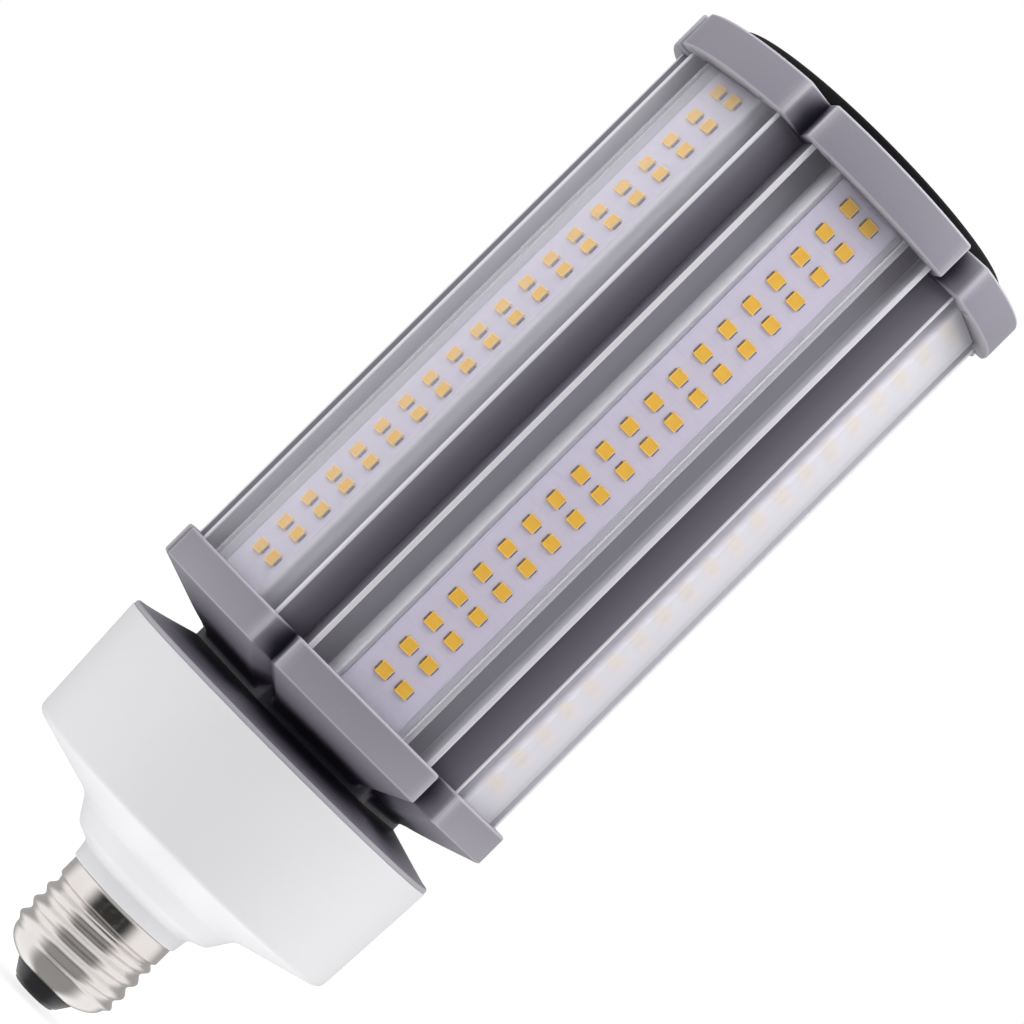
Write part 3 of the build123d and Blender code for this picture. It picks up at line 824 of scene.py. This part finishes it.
# Each face in a V groove is marked 1 and each trough floor trough_shade, for the painted shade.
groove_and_trough_shade = strip_mesh.attributes.new("groove_and_trough_shade", "FLOAT", "FACE")
for face in strip_mesh.polygons:
    middle = face.center / MM
    below_tip = -middle.y < fin_tip - tip_margin
    at_side = abs(middle.x) > strip_half_width - side_margin
    in_groove = at_side and below_tip and abs(face.normal.z) < 0.5
    in_trough = below_tip and face.normal.y < -0.9
    groove_and_trough_shade.data[face.index].value = 1.0 if in_groove else trough_shade if in_trough else 0.0
add_around("aluminium_strips", strip_mesh, aluminium, "fin_profile")

# LED boards: aluminium-cored boards with white solder mask, stuck flat on the pedestals.
# Copper shows faintly through the mask as wide fields with thin gaps between them.
board_face = 35.806
board_half_width = 7.4
board_field_width = 7.0
led_row_pitch = 6.44
board_mesh = extruded_mesh(
    "led_board_white", both_halves([(board_seat, board_half_width, 0), (board_face, board_half_width, 0)]))
board_map = board_mesh.uv_layers.new(name="across_and_along")
for face in board_mesh.polygons:
    for corner in face.loop_indices:
        point = board_mesh.vertices[board_mesh.loops[corner].vertex_index].co
        board_map.data[corner].uv = (point.x / MM, point.z / MM)

board_white, board_tree, board_shader = new_material("board_white", Specular_IOR_Level=0.4)
board_uv = add_node(board_tree, "ShaderNodeUVMap", uv_map="across_and_along").outputs[0]
board_fields = add_node(board_tree, "ShaderNodeTexBrick", {
    "Vector": board_uv, "Scale": 1.0, "Color1": (0.0, 0.0, 0.0, 1.0), "Color2": (0.25, 0.25, 0.25, 1.0),
    "Mortar": (1.0, 1.0, 1.0, 1.0), "Mortar Size": 0.12, "Brick Width": board_field_width,
    "Row Height": led_row_pitch}).outputs
board_marks = use_group(board_tree, handling_marks, Scale=200.0, Amount=0.5)
feed(board_shader, Roughness=spread(board_tree, board_marks["Scuff"], 0.42, 0.55),
     Base_Color=tint(board_tree, board_fields["Color"], colour(174, 169, 184), colour(171, 166, 181)))
add_bump(board_tree, board_shader, board_fields["Fac"], 0.00001)
add_around("led_boards_white", board_mesh, board_white, "led_board")

# LEDs: flat packages with a yellow phosphor window, soldered by a metal bar at each side.
# Forty stand on each board, in two columns.
led_width = 3.5
led_length = 2.8
led_height = 0.7
led_rows = 20
led_columns = 2
led_column_pitch = 5.3
led_middle = 128.63
led_edge = 0.08
led_edge_height = 0.1
window_half_width = 1.3
window_half_length = 1.27
window_slope = 0.06
window_drop = 0.07
bar_width = 0.34
bar_overlap = 0.05
bar_half_length = led_length / 2 - 0.45
bar_outer_height = 0.16
bar_inner_height = 0.42
body_half_width = led_width / 2 - bar_width
body_half_length = led_length / 2


def add_loft(work, loops):
    """Closed solid through loops of four corners in millimetres; gives its faces, with the last end last."""
    rings = [[work.verts.new(Vector(corner) * MM) for corner in loop] for loop in loops]
    faces = [work.faces.new(rings[0][::-1])]
    for below, above in zip(rings, rings[1:]):
        for step in range(4):
            beside = (step + 1) % 4
            faces.append(work.faces.new((below[step], below[beside], above[beside], above[step])))
    faces.append(work.faces.new(rings[-1]))
    return faces


def led_package():
    """One package at the origin, its back on y = 0 and its window facing -Y."""
    work = bmesh.new()
    part = work.faces.layers.float.new("window")
    levels = [
        (body_half_width, body_half_length, 0.0),
        (body_half_width, body_half_length, led_height - led_edge_height),
        (body_half_width - led_edge, body_half_length - led_edge, led_height),
        (window_half_width, window_half_length, led_height),
        (window_half_width - window_slope, window_half_length - window_slope, led_height - window_drop),
    ]
    body = [[(-x, -out, -z), (x, -out, -z), (x, -out, z), (-x, -out, z)] for x, z, out in levels]
    add_loft(work, body)[-1][part] = 1.0
    for side in (-1, 1):
        inner = side * (body_half_width - bar_overlap)
        outer = side * led_width / 2
        section = ((inner, 0.0), (outer, 0.0), (outer, bar_outer_height), (inner, bar_inner_height))
        bar = [[(x, -out, z) for x, out in section] for z in (-bar_half_length, bar_half_length)]
        for face in add_loft(work, bar):
            face[part] = 0.5
    bmesh.ops.recalc_face_normals(work, faces=work.faces)
    mesh = bpy.data.meshes.new("led_package")
    work.to_mesh(mesh)
    work.free()
    return mesh


led_finish, led_tree, led_shader = new_material("led_phosphor", Specular_IOR_Level=0.25)
led_part = painted(led_tree, "window")
led_marks = use_group(led_tree, handling_marks, Scale=500.0, Amount=0.5)
bar_mask = calc(led_tree, "GREATER_THAN", led_part, 0.25)
window_mask = calc(led_tree, "GREATER_THAN", led_part, 0.75)
phosphor_tone = tint(led_tree, led_marks["Cloud"], colour(200, 150, 10), colour(208, 162, 24))
body_tone = tint(led_tree, bar_mask, colour(226, 184, 96), colour(96, 88, 88))
feed(led_shader, Base_Color=tint(led_tree, window_mask, body_tone, phosphor_tone),
     Roughness=spread(led_tree, led_marks["Scuff"], 0.35, 0.5))

rows_tree, rows_sockets, rows_given = new_tree(
    "led_rows", Rows="Int", Columns="Int", Height="Float", Width="Float", Distance="Float", Middle="Float")
rows_grid = add_node(rows_tree, "GeometryNodeMeshGrid", {
    "Size X": rows_given["Width"], "Size Y": rows_given["Height"],
    "Vertices X": rows_given["Columns"], "Vertices Y": rows_given["Rows"]})
rows_front = calc(rows_tree, "MULTIPLY", rows_given["Distance"], -1.0)
rows_place = add_node(rows_tree, "ShaderNodeCombineXYZ", {"Y": rows_front, "Z": rows_given["Middle"]})
rows_upright = add_node(rows_tree, "GeometryNodeTransform", {
    "Geometry": rows_grid.outputs[0], "Translation": rows_place.outputs[0],
    "Rotation": (pi / 2, 0.0, 0.0)})
rows_copies = add_node(rows_tree, "GeometryNodeInstanceOnPoints", {
    "Points": rows_upright.outputs[0], "Instance": rows_given["Geometry"]})
end_tree(rows_tree, rows_given, rows_copies)
led_rows_mesh = run_tree(
    "led_rows", led_package(), rows_tree, rows_sockets, Rows=led_rows, Columns=led_columns,
    Height=(led_rows - 1) * led_row_pitch * MM, Width=(led_columns - 1) * led_column_pitch * MM,
    Distance=board_face * MM, Middle=led_middle * MM, Finish=led_finish)
add_around("led_packages", led_rows_mesh, led_finish, "leds")

# Clear covers: extruded clear plastic, a U with round corners that hooks under the pedestal's flange.
# They slide in from the end before the upper cap goes on.
cover_face = 38.106
cover_inside = 37.006
cover_foot = 31.306
cover_half_width = 10.3
cover_leg_inside = 9.2
cover_hook_top = 32.406
cover_hook_half_width = 8.5
haze_start = cover_half_width - 2.2
haze_end = cover_half_width - 1.2
cover_section = [
    (cover_inside, cover_leg_inside, 0.5),
    (cover_hook_top, cover_leg_inside, 0),
    (cover_hook_top, cover_hook_half_width, 0.2),
    (cover_foot, cover_hook_half_width, 0.2),
    (cover_foot, cover_half_width, 0.6),
    (cover_face, cover_half_width, 1.6),
]
cover_mesh = extruded_mesh("clear_cover", both_halves(cover_section, 5), smooth_angle=40)
side = cover_mesh.attributes.new("side", "FLOAT", "FACE")
for face in cover_mesh.polygons:
    side.data[face.index].value = smooth_step(haze_start, haze_end, abs(face.center.x) / MM)

clear_plastic, clear_tree, clear_shader = new_material(
    "clear_plastic", Base_Color=colour(250, 250, 252), IOR=1.05, Transmission_Weight=1.0, Coat_Weight=0.8,
    Coat_IOR=1.49, Coat_Roughness=0.1)
clear_lines = use_group(clear_tree, drawn_lines, Across=700.0, Along=0.5)
feed(clear_shader, Roughness=spread(clear_tree, clear_lines["Lines"], 0.02, 0.035))
slant = add_node(clear_tree, "ShaderNodeLayerWeight", {"Blend": 0.5}).outputs["Facing"]
slant_haze = spread(clear_tree, slant, 0.0, 0.7, 0.3, 0.75)
leg_haze = spread(clear_tree, painted(clear_tree, "side"), 0.0, 0.5)
haze_share = calc(clear_tree, "MAXIMUM", slant_haze, leg_haze)
haze_tone = tint(clear_tree, clear_lines["Bands"], colour(212, 211, 216), colour(218, 217, 222))
haze = add_node(clear_tree, "ShaderNodeBsdfDiffuse", {"Color": haze_tone})
hazed = add_node(clear_tree, "ShaderNodeMixShader", {
    0: haze_share, 1: clear_shader.outputs[0], 2: haze.outputs[0]})
shadow_ray = clear_tree.nodes.new("ShaderNodeLightPath").outputs["Is Shadow Ray"]
let_through = add_node(clear_tree, "ShaderNodeBsdfTransparent", {0: colour(244, 244, 246)})
either = add_node(clear_tree, "ShaderNodeMixShader", {
    0: shadow_ray, 1: hazed.outputs[0], 2: let_through.outputs[0]})
feed(clear_tree.nodes["Material Output"], Surface=either.outputs[0])
add_around("clear_covers_drawn", cover_mesh, clear_plastic, "clear_cover")

# Upper cap: the same six grey blocks, with the pockets below for the strips' upper ends.
# The hub recess above takes the tie rod's nut and the plug of the top cover.
upper_cap_foot = 192.9
upper_cap_top = 201.3
upper_loops = round_loops([(hub_bore, upper_cap_foot + cap_web), (hub_bore, upper_cap_top)])
upper_loops += cap_edge_loops(upper_cap_top, 1)[::-1]
upper_loops += cap_edge_loops(upper_cap_foot, -1)
upper_loops += pocket_loops(upper_cap_foot, upper_cap_foot + pocket_depth)
upper_loops += round_loops([(rod_hole, upper_cap_foot), (rod_hole, upper_cap_foot + cap_web)])
add_piece(loops_mesh("upper_cap_moulded", upper_loops, 40), ["upper_cap"], cap_grey)

# Top cover: black moulded disc with a soft rim that lies on the upper cap.
# Its hollow plug is pressed into the cap's hub.
top_cover_radius = 35.8
top_cover_top = 204.0
top_cover_wall = 1.6
plug_radius = 21.9
plug_foot = 198.3
# Its recess and edge colours paint faint shade in its hollows and a faint highlight on its edges.
cover_black = moulded_plastic("cover_black", colour(14, 14, 16), colour(20, 20, 22), rough=(0.6, 0.75),
                              grain=1500.0, depth=0.00003, recess=colour(8, 8, 10), edge=colour(22, 22, 24),
                              shine=0.15)
top_cover_outline = [
    (0.0, top_cover_top, 0),
    (top_cover_radius, top_cover_top, 0.7),
    (top_cover_radius, upper_cap_top, 0.2),
    (plug_radius, upper_cap_top, 0),
    (plug_radius, plug_foot, 0.2),
    (plug_radius - top_cover_wall, plug_foot, 0.2),
    (plug_radius - top_cover_wall, top_cover_top - top_cover_wall, 0),
    (0.0, top_cover_top - top_cover_wall, 0),
]
top_cover_mesh = turned_mesh("top_cover_moulded", top_cover_outline, turns=2 * TURN_STEPS)
add_piece(top_cover_mesh, ["top_cover"], cover_black)

# Floor and light: a pale floor that glows as a light table does and is open from below, a soft box high
# at each side and a small one close above the front. A light tent, dark towards the camera, stands around
# them for the reflections alone. Distances are in metres.
scene.view_settings.view_transform = "Standard"
WHITE = (1.0, 1.0, 1.0, 1.0)
floor_gap = 1.0
floor_level = (contact_tip - floor_gap) * MM
floor_reach = 6.0


def background_rays(tree):
    """Mask of the rays that show the background: from the camera, off metal and through the covers."""
    path = tree.nodes.new("ShaderNodeLightPath").outputs
    seen = calc(tree, "MAXIMUM", path["Is Camera Ray"], path["Is Glossy Ray"])
    return calc(tree, "MAXIMUM", seen, path["Is Transmission Ray"])


def add_stage(name, points, faces, material):
    """Adds a part of the studio that isn't part of the lamp."""
    mesh = bpy.data.meshes.new(name)
    mesh.from_pydata(points, [], faces)
    mesh.materials.append(material)
    made = bpy.data.objects.new(name, mesh)
    scene.collection.objects.link(made)
    return made


floor_white, floor_tree, floor_shader = new_material(
    "floor_white", Roughness=0.8, Specular_IOR_Level=0.0, Emission_Color=WHITE)
floor_marks = use_group(floor_tree, handling_marks, Scale=3.0, Amount=0.2)
floor_tone = tint(floor_tree, floor_marks["Cloud"], colour(148, 148, 148), colour(154, 154, 154))
floor_place = floor_tree.nodes.new("ShaderNodeTexCoord").outputs["Object"]
floor_length = add_node(floor_tree, "ShaderNodeVectorMath", {0: floor_place}, operation="LENGTH")
floor_far = floor_length.outputs["Value"]
floor_spot = spread(floor_tree, floor_far, 0.16, 0.0, 0.06, 0.14)
floor_wide = spread(floor_tree, floor_far, 0.75, 0.1, 0.3, 0.8)
floor_lit = calc(floor_tree, "ADD", floor_spot, floor_wide)
floor_seen = spread(floor_tree, floor_far, 0.82, 1.0, 0.2, 0.9)
feed(floor_shader, Base_Color=floor_tone,
     Emission_Strength=spread(floor_tree, background_rays(floor_tree), floor_lit, floor_seen))
from_below = floor_tree.nodes.new("ShaderNodeNewGeometry").outputs["Backfacing"]
open_below = floor_tree.nodes.new("ShaderNodeBsdfTransparent")
floor_sides = add_node(floor_tree, "ShaderNodeMixShader", {
    0: from_below, 1: floor_shader.outputs[0], 2: open_below.outputs[0]})
feed(floor_tree.nodes["Material Output"], Surface=floor_sides.outputs[0])
floor_ends = ((-1, -1), (1, -1), (1, 1), (-1, 1))
floor_corners = [(floor_reach * x, floor_reach * y, floor_level) for x, y in floor_ends]
add_stage("studio_floor", floor_corners, [(0, 1, 2, 3)], floor_white)

studio = bpy.data.worlds.new("studio")
scene.world = studio
studio.use_nodes = True
world_tree = studio.node_tree
world_glow = world_tree.nodes["Background"]
world_glow.inputs["Color"].default_value = WHITE
feed(world_glow, Strength=spread(world_tree, background_rays(world_tree), 0.08, 1.0))

camera_turn = radians(-9.7)
camera_lift = radians(-2.318)
camera_distance = 870.08 * MM
camera_roll = radians(45.2)
aim_height = 106.46 * MM
aim_offset = -0.716 * MM


def toward(turn, lift):
    """Direction away from the axis: turn goes to the right from the front, lift goes up."""
    return Vector((sin(turn) * cos(lift), -cos(turn) * cos(lift), sin(lift)))


back = toward(camera_turn, camera_lift)
right = Vector((cos(camera_turn), sin(camera_turn), 0.0))
up = back.cross(right)
middle_point = Vector((0.0, 0.0, aim_height))
rolled_right = right * cos(camera_roll) + up * sin(camera_roll)
rolled_up = up * cos(camera_roll) - right * sin(camera_roll)
camera = bpy.data.objects.new("camera", bpy.data.cameras.new("camera"))
camera.data.lens = 157.5
camera.data.sensor_width = 36.0
camera.data.clip_end = 20.0
camera_place = Matrix.Translation(middle_point + right * aim_offset + back * camera_distance)
camera.matrix_world = camera_place @ Matrix((rolled_right, rolled_up, back)).transposed().to_4x4()
scene.collection.objects.link(camera)
scene.camera = camera


def soft_box(name, side, lift, distance, width, height, power):
    """Area light turned to the lamp; side is degrees to the right of the camera, lift degrees up."""
    lamp_data = bpy.data.lights.new(name, "AREA")
    lamp_data.shape = "RECTANGLE"
    lamp_data.size = width
    lamp_data.size_y = height
    lamp_data.energy = power
    lamp = bpy.data.objects.new(name, lamp_data)
    away = toward(camera_turn + radians(side), radians(lift))
    lamp.location = middle_point + away * distance
    lamp.rotation_euler = away.to_track_quat("Z", "Y").to_euler()
    lamp.visible_glossy = False
    scene.collection.objects.link(lamp)


soft_box("left_soft_box", side=-72, lift=45, distance=0.6, width=0.8, height=0.6, power=2.6)
soft_box("right_soft_box", side=90, lift=45, distance=0.6, width=0.8, height=0.6, power=3.5)
soft_box("upper_soft_box", side=12, lift=60, distance=0.3, width=0.25, height=0.25, power=0.5)

tent_radius = 1.3
tent_step = 5
tent_lifts = (1, 3, 5, 7, 10, 14, 20, 30, 45, 60, 75, 90)
tent_dark = 0.02
tent_above = 0.5
tent_side = 1.1
tent_back = 0.45
tent_floor = ((0.002, 0.35), (0.06, 0.3), (0.1, 0.2),
              (0.14, tent_dark), (0.4, tent_dark), (tent_radius, tent_dark))
tent_floor_level = floor_level + 0.5 * MM
tent_rows = len(tent_lifts) + len(tent_floor)
above_lifts = (2, 14)
side_turns = (30, 62)
back_turns = (100, 140)


def tent_glow(turn, front):
    """Brightness of the tent's cloth: the given one in front, bright at the sides, half as bright behind."""
    to_side = smooth_step(*side_turns, abs(turn))
    to_back = smooth_step(*back_turns, abs(turn))
    return (front + (tent_side - front) * to_side) * (1 - to_back) + tent_back * to_back


tent_points = []
tent_values = []
for turn in range(-180, 180, tent_step):
    place = camera_turn + radians(turn)
    for distance, front in tent_floor:
        tent_points.append(toward(place, 0.0) * distance + Vector((0.0, 0.0, tent_floor_level)))
        tent_values.append(tent_glow(turn, front))
    for lift in tent_lifts:
        tent_points.append(toward(place, radians(lift)) * tent_radius)
        tent_values.append(tent_glow(turn, tent_dark + tent_above * smooth_step(*above_lifts, lift)))
tent_faces = []
for start in range(0, len(tent_points), tent_rows):
    beside = (start + tent_rows) % len(tent_points)
    for row in range(tent_rows - 1):
        tent_faces.append((start + row, beside + row, beside + row + 1, start + row + 1))
tent_cloth, tent_tree, tent_shader = new_material(
    "tent_cloth", Base_Color=(0.0, 0.0, 0.0, 1.0), Specular_IOR_Level=0.0, Emission_Color=WHITE)
feed(tent_shader, Emission_Strength=painted(tent_tree, "glow"))
tent = add_stage("light_tent", tent_points, tent_faces, tent_cloth)
tent.data.attributes.new("glow", "FLOAT", "POINT").data.foreach_set("value", tent_values)
for ray in ("camera", "diffuse", "transmission", "volume_scatter", "shadow"):
    setattr(tent, "visible_" + ray, False)
